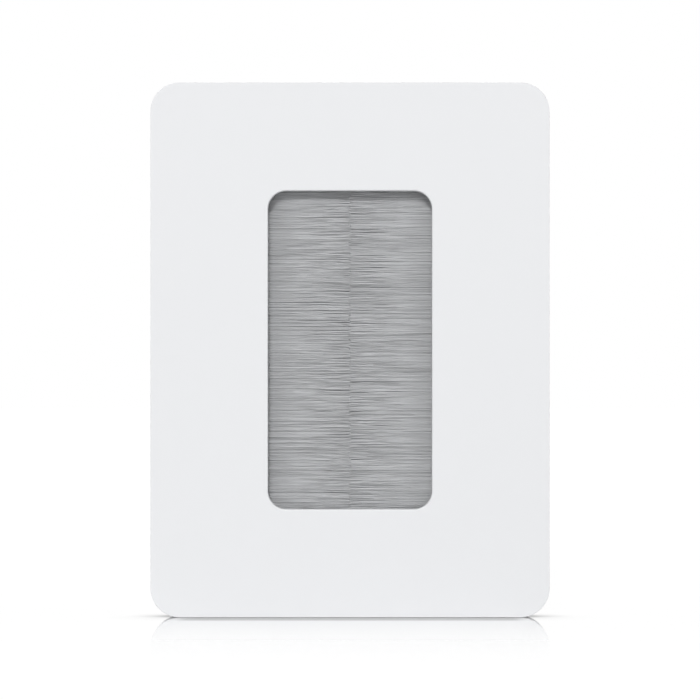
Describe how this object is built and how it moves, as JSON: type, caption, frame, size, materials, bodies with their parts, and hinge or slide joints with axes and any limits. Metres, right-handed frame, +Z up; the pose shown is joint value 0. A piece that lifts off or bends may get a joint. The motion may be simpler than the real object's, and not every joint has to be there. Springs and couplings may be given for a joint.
{
  "type": "cable pass-through wall plate",
  "caption": "Screwless rounded wall plate with an upright opening closed by facing brush strips, so cables pass through to a wall box while the gap stays covered.",
  "frame": {"origin": "midway between the two box screws, on the wall plane that the plate's back rim lies on", "axes": "+X to the right seen from the front, +Y into the wall along the box screws, +Z up the long side of the plate"},
  "size_m": [0.0852, 0.028, 0.1142],
  "materials": {
    "white_polycarbonate": "fine moulded satin",
    "grey_abs": "as moulded",
    "galvanised_steel": "galvanised",
    "steel_wire": "drawn",
    "grey_nylon": "satin filaments",
    "zinc_plated_steel": "zinc plated",
    "screw_steel": "zinc plated"
  },
  "bodies": {
    "root": {"face_plate": "white_polycarbonate", "mounting_frame": "grey_abs", "left_brush_channel": "galvanised_steel", "right_brush_channel": "galvanised_steel", "left_core_wire": "steel_wire", "right_core_wire": "steel_wire", "left_bristles": "grey_nylon", "right_bristles": "grey_nylon", "left_clamp_bar": "zinc_plated_steel", "right_clamp_bar": "zinc_plated_steel", "clamp_screws": "screw_steel", "box_screws": "screw_steel"}
  },
  "joints": []
}
